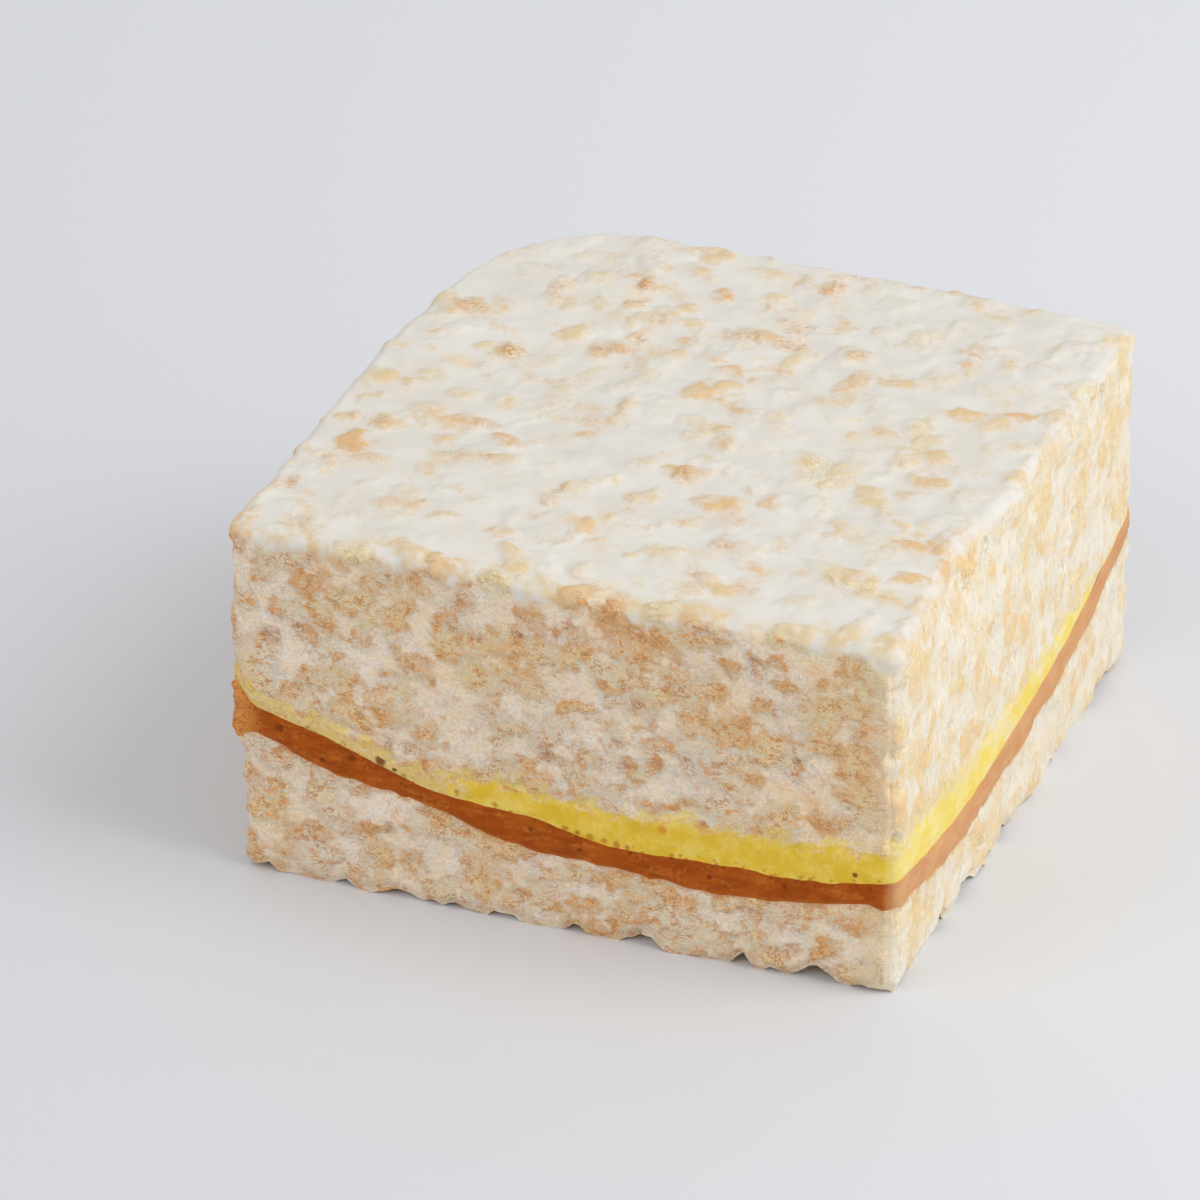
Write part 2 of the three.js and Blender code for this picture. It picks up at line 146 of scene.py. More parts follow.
# Gaps under the bottom edge, where grains broke away: at random, and along the front at these
# places, each with a half width and a height.
ARCHES = dict(rise=1.7, width=3.4, reach=4.5, rough=0.55)
FRONT_ARCHES = (
    (-34.0, 0.9, 0.5), (-25.3, 0.8, 0.7), (-18.5, 1.6, 0.5), (-12.7, 0.7, 0.6), (-7.7, 0.6, 0.6),
    (1.5, 1.2, 0.5), (9.6, 1.5, 1.2), (20.4, 0.8, 1.2), (29.2, 1.7, 1.4), (34.0, 0.9, 0.5),
)

# The camera that took the picture, fitted to the block's edges.
CAMERA = dict(azimuth=21.10, elevation=29.86, distance=1114.6, target=(-6.20, -11.41, 25.0))
FOCAL_PIXELS, PICTURE_PIXELS, SENSOR = 10250.9, 1200, 36.0

# Holes and orange bits in the yellow and the caramel of the front: x, z and radius.
YELLOW_HOLES = ((-20.8, 16.9, 0.6), (-19.2, 16.1, 0.25), (33.4, 14.4, 0.3))
SEAM_HOLES = (
    (0.4, 13.0, 0.35), (1.9, 12.8, 0.3), (3.3, 12.6, 0.4), (4.9, 12.4, 0.35), (6.3, 12.2, 0.4),
    (7.6, 12.1, 0.3), (12.6, 12.2, 0.3), (-7.6, 14.2, 0.3), (-12.0, 14.9, 0.3),
)
YELLOW_BITS = (
    (-6.2, 16.9, 0.6), (-5.2, 16.6, 0.35), (36.5, 17.8, 0.4), (11.6, 15.3, 0.5), (10.2, 16.8, 0.7),
)
CARAMEL_HOLES = (
    (-32.4, 18.6, 0.45), (-24.1, 16.5, 0.4), (-27.5, 15.6, 0.3), (2.2, 10.8, 0.25),
    (17.0, 10.6, 0.3), (25.5, 11.4, 0.25), (-3.4, 12.2, 0.3),
)

# How bright a white sheet would be on each face, and on rough cut rice in the front face: seen
# colours are divided by these, up to the brightest base colour.
TOP_LIGHT, FRONT_LIGHT, RIGHT_LIGHT, CUT_LIGHT = 0.99, 0.73, 1.0, 0.66
BRIGHTEST = 0.95
# Draws a pattern out along X and flattens it along Z.
FLAT = (0.75, 1.0, 1.25)

# The studio: what the lights point at, the floor's side in metres, and the light all round.
MIDDLE = (0, 0, 20)
FLOOR_SIDE = 8
ROOM_TINT, ROOM_LIGHT = (0.97, 0.985, 1.0, 1), 0.64


# ---- Numbers over points: smooth steps, humps and noise.

def hump(value, middle, reach):
    return np.exp(-((value - middle) / reach) ** 2)


def smoothstep(value, low, high):
    part = np.clip((value - low) / (high - low), 0, 1)
    return part * part * (3 - 2 * part)


def blend(share, first, second):
    return first + share * (second - first)


class Noise:
    """Smooth noise from -1 to 1 over points, from a lattice of drawn numbers."""

    SIDE = 48

    def __init__(self, seed):
        draw = np.random.default_rng(seed)
        self.lattice = draw.uniform(-1, 1, (self.SIDE,) * 3)

    def __call__(self, points, size):
        cell = points / size
        base = np.floor(cell).astype(int)
        part = cell - base
        part = part * part * (3 - 2 * part)
        total = np.zeros(len(points))
        for corner in itertools.product((0, 1), repeat=3):
            weight = np.prod(np.where(corner, part, 1 - part), axis=1)
            index = (base + corner) % self.SIDE
            total += weight * self.lattice[index[:, 0], index[:, 1], index[:, 2]]
        return total

    def over_plan(self, x, y, size, level):
        return self(np.stack((x, y, np.full_like(x, level)), axis=1), size)


FINE = Noise(FINE_SEED)
BROAD = Noise(BROAD_SEED)


# ---- Heights of the layers over the plan.

def dish(x, y):
    """The height of the middle of the caramel, a bowl lowest at the front right."""
    along_x = DISH["rise_x"] * ((x - DISH["x"]) / DISH["reach_x"]) ** 2
    along_y = DISH["rise_y"] * ((y - DISH["y"]) / DISH["reach_y"]) ** 2
    return DISH["height"] + along_x + along_y


def near_right(x):
    """Rises to 1 at the right face."""
    return smoothstep(x, RIGHT_LIFT["start"], WIDTH / 2)


def slim_end(x, y):
    """How much thinner the caramel's lower half is near the right end of the front."""
    return SLIM["end_by"] * hump(x, SLIM["end_x"], SLIM["end_reach"]) * (1 - smoothstep(y, -38, -30))


def caramel_middle(x, y):
    lift = RIGHT_LIFT["middle"] * smoothstep(y, -20, 0) + RIGHT_LIFT["back"] * smoothstep(y, 25, 38)
    return dish(x, y) + lift * near_right(x) + slim_end(x, y)


def corner_lump(x, y):
    return np.exp(-((x + WIDTH / 2) ** 2 + (y + DEPTH / 2) ** 2) / LUMP["reach"] ** 2)


def caramel_half(x, y):
    ripple = np.cos(2 * np.pi * (x + 4 + 0.3 * (y + DEPTH / 2)) / CARAMEL["ripple_length"])
    layer = CARAMEL["thickness"] - CARAMEL["thinning"] * x
    layer = layer + CARAMEL["ripple"] * ripple * (1 - 0.8 * near_right(x))
    half = layer / 2 + LUMP["height"] * corner_lump(x, y) + RIGHT_LIFT["thicker"] * near_right(x)
    return half - SLIM["by"] * hump(x, SLIM["x"], SLIM["reach"]) - slim_end(x, y)


def ragged(x, y, level):
    large, small = BROAD.over_plan(x, y, 3.4, level), FINE.over_plan(x, y, 1.3, level)
    return RAGGED_SEAM * (0.7 * large + 0.5 * small + 0.35 * BROAD.over_plan(x, y, 0.75, level))


def caramel_bottom(x, y):
    return caramel_middle(x, y) - caramel_half(x, y) + ragged(x, y, 0.5)


def caramel_top(x, y):
    return caramel_middle(x, y) + caramel_half(x, y) + 0.5 * ragged(x, y, 9.5)


def yellow_top(x, y):
    along_y = np.exp(-((y - YELLOW["y"]) / YELLOW["reach_y"]) ** 4)
    swell = YELLOW["swell"] * hump(x, YELLOW["x"], YELLOW["reach_x"]) * along_y
    swell = swell * (1 - 0.2 * near_right(x)) + 1.8 * ragged(x, y, 17.5)
    thinner = YELLOW["thinner"] * (1 - smoothstep(x, -20, -8))
    plain = dish(x, y) + caramel_half(x, y) + YELLOW["thickness"] - thinner + swell
    return np.maximum(plain, caramel_top(x, y) + YELLOW["thinnest"])


def treat_top(x, y):
    swell = np.sin(x / 7.5 + 1.1) * np.cos(y / 8.5) + np.sin(x / 15 - y / 11)
    return HEIGHT + TOP_SWELL / 2 * swell


def underside(x, y):
    """Level, but for low arches that open to the sides."""
    inset = np.minimum(WIDTH / 2 - np.abs(x), DEPTH / 2 - np.abs(y))
    front = 1 - smoothstep(y + DEPTH / 2, 1.0, 3.0)
    rise = ARCHES["rise"] * smoothstep(BROAD.over_plan(x, y, ARCHES["width"], 30.5), 0.15, 0.75)
    rise = rise * (1 - front)
    for middle, half_width, height in FRONT_ARCHES:
        rise = rise + front * height * np.exp(-np.abs((x - middle) / half_width) ** 3)
    rise = rise + ARCHES["rough"] * smoothstep(FINE.over_plan(x, y, 1.5, 31.5), -0.1, 0.8)
    return rise * (1 - smoothstep(inset, 0, ARCHES["reach"]))


# ---- The plan: a rectangle with three sharp corners and one rounded by the pan.

def plan(u, v):
    """Plan places of points of a square from -1 to 1, with the way out of the nearest side
    and the distance to it."""
    x, y = u * WIDTH / 2, v * DEPTH / 2
    inset_x, inset_y = WIDTH / 2 - np.abs(x), DEPTH / 2 - np.abs(y)
    nearer_x = inset_x < inset_y
    way_x = np.where(nearer_x, np.sign(x), 0.0)
    way_y = np.where(nearer_x, 0.0, np.sign(y))
    inset = np.minimum(inset_x, inset_y)
    for side_x, side_y, radius in ((1, -1, CUT_CORNER), (1, 1, CUT_CORNER),
                                   (-1, -1, CUT_CORNER), (-1, 1, PAN_CORNER)):
        from_x = x * side_x - (WIDTH / 2 - radius)
        from_y = y * side_y - (DEPTH / 2 - radius)
        inside = (from_x > 0) & (from_y > 0)
        far = np.maximum(np.hypot(from_x, from_y), 1e-9)
        reach = np.maximum(from_x, from_y)
        x = np.where(inside, side_x * (WIDTH / 2 - radius + from_x * reach / far), x)
        y = np.where(inside, side_y * (DEPTH / 2 - radius + from_y * reach / far), y)
        way_x = np.where(inside, side_x * from_x / far, way_x)
        way_y = np.where(inside, side_y * from_y / far, way_y)
        inset = np.where(inside, radius - reach, inset)
    return x, y, way_x, way_y, inset


def rice_bulge(x, y, way_x, way_y, z):
    swell = hump(y, LEFT_BULGE["y"], LEFT_BULGE["reach_y"])
    swell = swell * hump(z, LEFT_BULGE["z"], LEFT_BULGE["reach_z"])
    taper = smoothstep(y, LEFT_TAPER["start"], LEFT_TAPER["end"])
    left = LEFT_BULGE["out"] * swell - LEFT_TAPER["inward"] * taper
    back = BACK_BULGE["out"] * hump(x, BACK_BULGE["x"], BACK_BULGE["reach"])
    sunk = hump(y, RIGHT_DIP["y"], RIGHT_DIP["reach"]) * smoothstep(z, RIGHT_DIP["start"], HEIGHT)
    out = np.maximum(0, -way_x) * left + np.maximum(0, way_y) * back
    return out - np.maximum(0, way_x) * RIGHT_DIP["inward"] * sunk


def base_bulge(x, y, way_x, way_y, z):
    below = smoothstep(caramel_bottom(x, y) - z, 0, 2.0)
    return rice_bulge(x, y, way_x, way_y, z) - np.maximum(0, -way_x) * BASE_INSET * below


# ---- Blocks made by hand: walls drawn down from a square, closed by rings at both ends.

def select_edges(block, chosen):
    """Selects the edges that chosen(first, second) accepts by their two ends' places."""
    bpy.ops.mesh.select_mode(type="EDGE")
    bpy.ops.mesh.select_all(action="DESELECT")
    edit = bmesh.from_edit_mesh(block.data)
    for edge in edit.edges:
        edge.select_set(chosen(edge.verts[0].co, edge.verts[1].co))
    bmesh.update_edit_mesh(block.data)


def on_one_side(p, q):
    """Whether an edge lies in one of the four sides of the unit block."""
    along_x = abs(p.x) > 1 - 1e-5 and abs(p.x - q.x) < 1e-5
    along_y = abs(p.y) > 1 - 1e-5 and abs(p.y - q.y) < 1e-5
    return along_x or along_y


def close_with_rings(level, steps):
    """Draws the selected loop inwards in steps and closes it at the middle."""
    for step in steps:
        bpy.ops.mesh.extrude_region_move()
        bpy.ops.transform.resize(value=(step, step, 1), center_override=(0, 0, level))
    bpy.ops.mesh.merge(type="CENTER")


def finish_block(block):
    """Divides the walls into rows and makes the block smooth, but sharp round its floor."""
    select_edges(block, lambda p, q: abs(p.z - q.z) > 1.9)
    bpy.ops.mesh.subdivide(number_cuts=ROWS[block.name] - 1)
    select_edges(block, lambda p, q: max(p.z, q.z) < -0.99 and on_one_side(p, q))
    bpy.ops.mesh.mark_sharp()
    bpy.ops.mesh.select_all(action="SELECT")
    bpy.ops.mesh.normals_make_consistent(inside=False)
    bpy.ops.object.mode_set(mode="OBJECT")
    bpy.ops.object.shade_smooth()
    return block


def new_block(name, add_square, **settings):
    """A flat unit square at the height 1, ready to be worked on."""
    bpy.ops.object.select_all(action="DESELECT")
    add_square(size=2, location=(0, 0, 1), **settings)
    block = bpy.context.active_object
    block.name = block.data.name = name
    bpy.ops.object.transform_apply(location=True)
    bpy.ops.object.mode_set(mode="EDIT")
    return block


def walled_block(name, rings=RINGS):
    """A unit block from -1 to 1 with finely divided walls and plain ends."""
    block = new_block(name, bpy.ops.mesh.primitive_plane_add)
    bpy.ops.mesh.delete(type="ONLY_FACE")
    bpy.ops.mesh.select_all(action="SELECT")
    bpy.ops.mesh.subdivide(number_cuts=COLUMNS - 1)
    bpy.ops.mesh.extrude_region_move(TRANSFORM_OT_translate={"value": (0, 0, -2)})
    close_with_rings(-1, rings)
    select_edges(block, lambda p, q: min(p.z, q.z) > 0.99 and on_one_side(p, q))
    bpy.ops.mesh.mark_sharp()
    close_with_rings(1, rings)
    return finish_block(block)


def gridded_block(name):
    """A unit block from -1 to 1 with a finely divided top and walls and a plain floor."""
    block = new_block(name, bpy.ops.mesh.primitive_grid_add, x_subdivisions=COLUMNS,
                      y_subdivisions=TOP_LINES)
    select_edges(block, on_one_side)
    bpy.ops.mesh.extrude_region_move(TRANSFORM_OT_translate={"value": (0, 0, -2)})
    close_with_rings(-1, TOP_RINGS)
    return finish_block(block)


def read_all(items, name):
    """One vector of each of a mesh's items, as rows."""
    values = np.empty(len(items) * 3)
    items.foreach_get(name, values)
    return values.reshape(-1, 3)


def write_points(piece, points):
    piece.data.vertices.foreach_set("co", points.ravel())
    piece.data.update()


def relief(piece, amounts):
    """Moves each point out along its normal by an amount in millimetres."""
    points, ways = read_all(piece.data.vertices, "co"), read_all(piece.data.vertex_normals, "vector")
    write_points(piece, points + ways * amounts[:, None] * MM)


class Layer:
    """A unit block moved onto a layer between two heights, and where its points lie in it.
    What moves the walls fades out this far in from them."""

    FADE, BULGE_FADE = 4.0, 10.0

    def __init__(self, piece, bottom, top, edge_radius, bulge):
        self.piece = piece
        u, v, w = read_all(piece.data.vertices, "co").T
        x, y, way_x, way_y, inset = plan(u, v)
        self.share = (w + 1) / 2
        low, high = bottom(x, y), top(x, y)
        z = low + (high - low) * self.share
        self.inset, self.below_top, self.above_bottom = inset, high - z, z - low
        self.way_x, self.way_y = way_x, way_y
        out = bulge(x, y, way_x, way_y, z) * np.clip(1 - inset / self.BULGE_FADE, 0, 1)
        x, y = x + way_x * out, y + way_y * out
        if edge_radius:
            near_side, near_top = edge_radius - inset, edge_radius - self.below_top
            rounded = (near_side > 0) & (near_top > 0)
            reach = np.maximum(near_side, near_top)
            far = np.maximum(np.hypot(near_side, near_top), 1e-9)
            inward = np.where(rounded, near_side * (1 - reach / far), 0)
            x, y = x - way_x * inward, y - way_y * inward
            z = z - np.where(rounded, near_top * (1 - reach / far), 0)
        self.points = np.stack((x, y, z), axis=1)
        write_points(piece, self.points * MM)

    def dragged(self):
        """1 on the right face, which the knife smeared and where the finishes paint paler colours as
        painted light, and 0 on the others.
        """
        return smoothstep(self.way_x, 0.1, 0.9)

    def keep(self, above=0.0, below=0.0, **values):
        """Keeps values of the points for the finish, and how far they are above the seam under
        the layer and below the seam over it, plus these amounts."""
        values.update(above=self.above_bottom + above, below=self.below_top + below)
        for name, value in values.items():
            attribute = self.piece.data.attributes.new(name, "FLOAT", "POINT")
            attribute.data.foreach_set("value", value.astype(np.float32))

    def push_walls(self, amounts):
        """Moves the points of the walls straight out by an amount in millimetres, so that layers
        which share an edge still meet there."""
        way = np.stack((self.way_x, self.way_y, 0 * self.way_x), axis=1)
        amounts = amounts * np.clip(1 - self.inset / self.FADE, 0, 1)
        write_points(self.piece, (self.points + way * amounts[:, None]) * MM)


# ---- The grains packed through the rice.

class Grains:
    """Ellipsoids near the block's faces, and what they are at given points."""

    DEEPEST = 1.6
    # How far the scattered grains keep from the marked ones, along a face and into it.
    CLEAR, CLEAR_DEPTH = 1.0, 3.5

    def __init__(self, seed):
        draw = np.random.default_rng(seed)
        scattered, marked = self.scattered(draw), self.marked()
        whole = [np.concatenate(parts) for parts in zip(scattered, marked)]
        self.centres, self.sizes, self.axes, self.shown, self.toast = whole
        lean = draw.normal(0, 1, self.centres.shape) + np.array(GRAIN_LEAN)
        self.lean = lean / np.linalg.norm(lean, axis=1)[:, None]

    def scattered(self, draw):
        """Grains at random near the faces, away from the marked ones."""
        halves = (WIDTH / 2 + 3, DEPTH / 2 + 3)
        steps = [np.arange(-half, half, pitch) for half, pitch in zip(halves, GRAIN_PITCH)]
        steps.append(np.arange(-1.0, HEIGHT + 2, GRAIN_PITCH[2]))
        centres = np.stack(np.meshgrid(*steps, indexing="ij"), axis=-1).reshape(-1, 3)
        centres = centres + draw.uniform(-0.45, 0.45, centres.shape) * GRAIN_PITCH
        x, y, z = centres.T
        inset = np.minimum(WIDTH / 2 - np.abs(x), DEPTH / 2 - np.abs(y))
        near = np.minimum(inset, np.minimum(HEIGHT - z, z + 2)) < GRAIN_SHELL
        below_top, behind_front = HEIGHT - z, y + DEPTH / 2
        marked_faces = ((TOP_LANDMARKS, y, below_top), (FRONT_LANDMARKS, z, behind_front))
        for marks, up, inwards in marked_faces:
            for mark_x, mark_up, half_length, *_ in marks:
                apart = np.hypot(x - mark_x, up - mark_up)
                near &= (apart > half_length + self.CLEAR) | (inwards > self.CLEAR_DEPTH)
        centres = centres[near]
        count = len(centres)
        sizes = np.array(GRAIN_HALF) * draw.uniform(0.7, 1.2, (count, 3))
        turn = draw.uniform(0, 2 * np.pi, count)
        tilt, roll = draw.normal(0, GRAIN_TILT, count), draw.normal(0, GRAIN_ROLL, count)
        axes = self.frames(turn, tilt, roll)
        shown, toast = draw.uniform(0, 1, count) ** 1.3, draw.uniform(0.2, 0.85, count)
        return centres, sizes, axes, shown, toast

    def marked(self):
        """The grains that catch the eye: those on top, then those on the front."""
        top, front = np.array(TOP_LANDMARKS), np.array(FRONT_LANDMARKS)
        each_top, each_front = np.ones(len(top)), np.ones(len(front))
        top_z = treat_top(top[:, 0], top[:, 1]) - GRAIN_HALF[2] - 0.1
        front_y = (0.5 - DEPTH / 2) * each_front
        centres = np.vstack((np.column_stack((top[:, :2], top_z)),
                             np.column_stack((front[:, 0], front_y, front[:, 1]))))
        sizes = np.vstack((np.column_stack((top[:, 2:4], GRAIN_HALF[2] * each_top)),
                           np.column_stack((front[:, 2:4], 1.3 * each_front))))
        top_axes = self.frames(np.radians(top[:, 4]), 0.12 * each_top, 0.1 * each_top)
        axes = np.concatenate((top_axes, self.upright(np.radians(front[:, 4]))))
        both = np.vstack((top, front))
        return centres, sizes, axes, both[:, 5], both[:, 6]

    @staticmethod
    def frames(turn, tilt, roll):
        """The three axes of grains turned about Z, tilted up, and rolled about their length."""
        along = np.stack((np.cos(turn) * np.cos(tilt), np.sin(turn) * np.cos(tilt), np.sin(tilt)), 1)
        level = np.stack((-np.sin(turn), np.cos(turn), 0 * turn), 1)
        upward = np.cross(along, level)
        cos, sin = np.cos(roll)[:, None], np.sin(roll)[:, None]
        return np.stack((along, level * cos + upward * sin, upward * cos - level * sin), 1)

    @staticmethod
    def upright(turn):
        """Grains that lie in the front face, turned in it."""
        along = np.stack((np.cos(turn), 0 * turn, np.sin(turn)), 1)
        across = np.stack((-np.sin(turn), 0 * turn, np.cos(turn)), 1)
        return np.stack((along, across, np.cross(along, across)), 1)

    def at(self, points):
        """For each point: how deep it is in its grain (less than 0 outside), how much that grain
        shows, how toasted it is, and on which side of the grain the point lies."""
        order = np.argsort(points[:, 0])
        sorted_points = points[order]
        reach = self.sizes.max(axis=1) + 1.4
        starts = np.searchsorted(sorted_points[:, 0], self.centres[:, 0] - reach)
        ends = np.searchsorted(sorted_points[:, 0], self.centres[:, 0] + reach)
        best, side = np.full(len(points), -2.0), np.zeros(len(points))
        owner = np.zeros(len(points), int)
        for grain, (start, end) in enumerate(zip(starts, ends)):
            offset = sorted_points[start:end] - self.centres[grain]
            index = np.nonzero((np.abs(offset[:, 1:]) < reach[grain]).all(axis=1))[0]
            local = offset[index] @ self.axes[grain].T
            unit = local / self.sizes[grain]
            norm = np.maximum(np.linalg.norm(unit, axis=1), 1e-6)
            depth = np.minimum(np.linalg.norm(local, axis=1) * (1 / norm - 1), self.DEEPEST)
            wins = depth > best[index + start]
            index = index[wins] + start
            best[index] = depth[wins]
            side[index] = unit[wins] @ self.lean[grain]
            owner[index] = grain
        back = np.argsort(order)
        return [values[back] for values in (best, self.shown[owner], self.toast[owner], side)]


GRAINS = Grains(GRAIN_SEED)


def front_pits(points):
    """1 in the holes of the front face and 0 away from them."""
    deep = np.zeros(len(points))
    front = smoothstep(-points[:, 1], DEPTH / 2 - 2.5, DEPTH / 2 - 1.5)
    for x, z, half_length, half_height, turn in FRONT_PITS:
        cos, sin = math.cos(math.radians(turn)), math.sin(math.radians(turn))
        apart_x, apart_z = points[:, 0] - x, points[:, 2] - z
        along = (apart_x * cos + apart_z * sin) / half_length
        across = (apart_z * cos - apart_x * sin) / half_height
        deep = np.maximum(deep, front * np.exp(-(along ** 2 + across ** 2) ** 1.5))
    return deep


def warped(points, amount):
    """Points moved a little by noise, which makes the grains' outlines uneven."""
    shift = np.stack([FINE(points + offset, 2.1) + 0.5 * FINE(points - offset, 0.9)
                      for offset in (11.3, 37.9, 71.7)], axis=1)
    return points + amount * shift


def cut_rice(layer, below_top):
    """The relief of cut rice at a layer's points, and the attributes that its finish reads."""
    points = warped(layer.points, 0.8)
    depth, shown, toast, side = GRAINS.at(points)
    inside = smoothstep(depth, -0.2, 0.5) * np.clip(shown, 0, 1)
    points = layer.points
    crumb = 0.22 * FINE(points, 1.1) + 0.14 * FINE(points + 50, 0.7)
    lumps = 0.24 * BROAD(points, 4.5) + 0.2 * BROAD(points + 70, 2.4)
    pits = np.maximum(front_pits(points), smoothstep(FINE(points + 33, 2.6), 0.66, 0.8))
    whole = smoothstep(depth, 0, 1.0) * (1 - smoothstep(below_top, 2, 5)) * np.clip(shown, 0, 1)
    upright = 2 * np.abs(layer.way_x * layer.way_y)
    crumb_edge = upright * (0.35 * FINE(points + 15, 1.6) + 0.2 * FINE(points + 65, 0.8))
    amounts = lumps + inside * (0.1 + crumb) + 0.3 * whole - 0.7 * pits + crumb_edge
    tones = dict(grain=depth, shown=shown, toast=toast, side=side, pit=pits, dragged=layer.dragged())
    return amounts, tones


def film_cover(layer, below_top, depth, shown):
    """1 where the marshmallow film covers the rice and 0 where the cut face is bare."""
    points = layer.points
    drape = FILM["drape"] + FILM["drape_change"] * BROAD(points * (1, 1, 0.15), 4.0)
    drape = drape + 0.6 * FINE(points * (1, 1, 0.25), 1.6)
    for drip in FRONT_DRIPS:
        drape = drape + 1.4 * hump(points[:, 0], drip, 1.7) * (layer.way_y < -0.5)
    edge = smoothstep(DEPTH / 2 + points[:, 1], 1.8, 3.0)
    bare = smoothstep(depth, -0.3, 1.1) * smoothstep(shown, 0.75, 0.9) * (1 - edge)
    return (1 - smoothstep(below_top, drape - 0.7, drape + 0.7)) * (1 - 0.4 * bare)


# ---- The pieces.

def upper_rice():
    def top(x, y):
        return treat_top(x, y) - FILM["core_below"]
    layer = Layer(walled_block("upper_rice"), yellow_top, top, TOP_EDGE, rice_bulge)
    below_top = layer.below_top + FILM["core_below"]
    amounts, tones = cut_rice(layer, below_top)
    cover = film_cover(layer, below_top, tones["grain"], tones["shown"])
    layer.push_walls(amounts + FILM["thickness"] * cover)
    layer.keep(below=FILM["core_below"] + AWAY, cover=cover, **tones)
    return layer.piece


def marshmallow_film():
    def under(x, y):
        return treat_top(x, y) - FILM["skirt"]
    layer = Layer(gridded_block("marshmallow_film"), under, treat_top, TOP_EDGE, rice_bulge)
    surface = layer.points
    side = smoothstep(layer.below_top, 0.1, 1.6)
    layer.points = surface - np.stack((0 * side, 0 * side, 0.6 * (1 - side)), axis=1)
    cut, tones = cut_rice(layer, layer.below_top)
    cover = film_cover(layer, layer.below_top, tones["grain"], tones["shown"])
    bumps = 0.45 * smoothstep(tones["grain"], -0.6, 1.3) * np.clip(0.3 + tones["shown"], 0, 1)
    swell = 0.25 * BROAD(surface, 8.0) + 0.12 * BROAD(surface + 40, 3.6)
    dive = 0.7 * smoothstep(layer.below_top, FILM["dive"], FILM["dive"] + 0.8)
    amounts = blend(side, bumps - 0.2 + swell, cut + FILM["thickness"] * cover + 0.03 - dive)
    relief(layer.piece, np.where(layer.share < 0.01, -0.7, amounts))
    tones["pit"] = tones["pit"] * side
    layer.keep(above=AWAY, below=AWAY, cover=cover, **tones)
    return layer.piece


def yellow_marshmallow():
    layer = Layer(walled_block("yellow_marshmallow"), caramel_top, yellow_top, 0, rice_bulge)
    points = layer.points
    rice, _ = cut_rice(layer, layer.below_top + DEEP)
    sponge = 0.1 * FINE(points, 0.9) + 0.14 * FINE(points + 30, 2.2)
    sponge = sponge * smoothstep(layer.above_bottom, 0, 0.4)
    layer.push_walls(blend(smoothstep(layer.below_top, 0, 1.0), rice, sponge))
    layer.keep(dragged=layer.dragged())
    return layer.piece


def caramel():
    layer = Layer(walled_block("caramel"), caramel_bottom, caramel_top, 0, rice_bulge)
    points = layer.points
    crown = np.sqrt(np.clip(np.sin(np.pi * layer.share), 0, 1))
    ooze = CARAMEL["bulge"] + LUMP["bulge"] * corner_lump(points[:, 0], points[:, 1])
    uneven = 0.2 * BROAD(points, 5.0) + 0.08 * FINE(points, 1.2) + 0.05 * FINE(points + 60, 0.7)
    rice, _ = cut_rice(layer, layer.below_top + DEEP)
    crumbly = FINE(points + 20, 1.3) + 0.7 * FINE(points + 80, 0.7)
    uneven = uneven + LUMP["rough"] * corner_lump(points[:, 0], points[:, 1]) * crumbly
    layer.push_walls(crown * (ooze + uneven) + rice * (1 - smoothstep(layer.above_bottom, 0, 0.8)))
    layer.keep(dragged=layer.dragged())
    return layer.piece


def lower_rice():
    block = walled_block("lower_rice", BASE_RINGS)
    layer = Layer(block, underside, caramel_bottom, 0, base_bulge)
    amounts, tones = cut_rice(layer, layer.below_top + DEEP)
    near_floor = 1 - smoothstep(layer.above_bottom, 0, 1.5)
    tuck = (0.45 + 0.35 * FINE(layer.points + 90, 2.0)) * near_floor
    layer.push_walls(amounts - tuck)
    layer.keep(above=AWAY, cover=0 * tuck, **tones)
    return layer.piece


# ---- Shader maths: sockets written like numbers.

class Wire:
    """An output socket that takes part in expressions; each adds its Math node."""

    def __init__(self, finish, socket):
        self.finish, self.socket = finish, socket

    def math(self, operation, *values):
        return self.finish.node("ShaderNodeMath", {"operation": operation}, dict(enumerate(values)))

    def __add__(self, other):
        return self.math("ADD", self, other)

    __radd__ = __add__

    def __sub__(self, other):
        return self.math("SUBTRACT", self, other)

    def __rsub__(self, other):
        return self.math("SUBTRACT", other, self)

    def __mul__(self, other):
        return self.math("MULTIPLY", self, other)

    __rmul__ = __mul__

    def __abs__(self):
        return self.math("ABSOLUTE", self)

    def step(self, low, high):
        """0 below low, 1 above high and smooth between."""
        return self.finish.node("ShaderNodeMapRange", {"interpolation_type": "SMOOTHSTEP"},
                                {"Value": self, "From Min": low, "From Max": high})

    def beyond(self, limit):
        return self.math("GREATER_THAN", self, limit)

    def line(self, width):
        """1 along the lines where a noise crosses its middle and 0 away from them."""
        return 1 - abs(self - 0.5).step(0.25 * width, width)


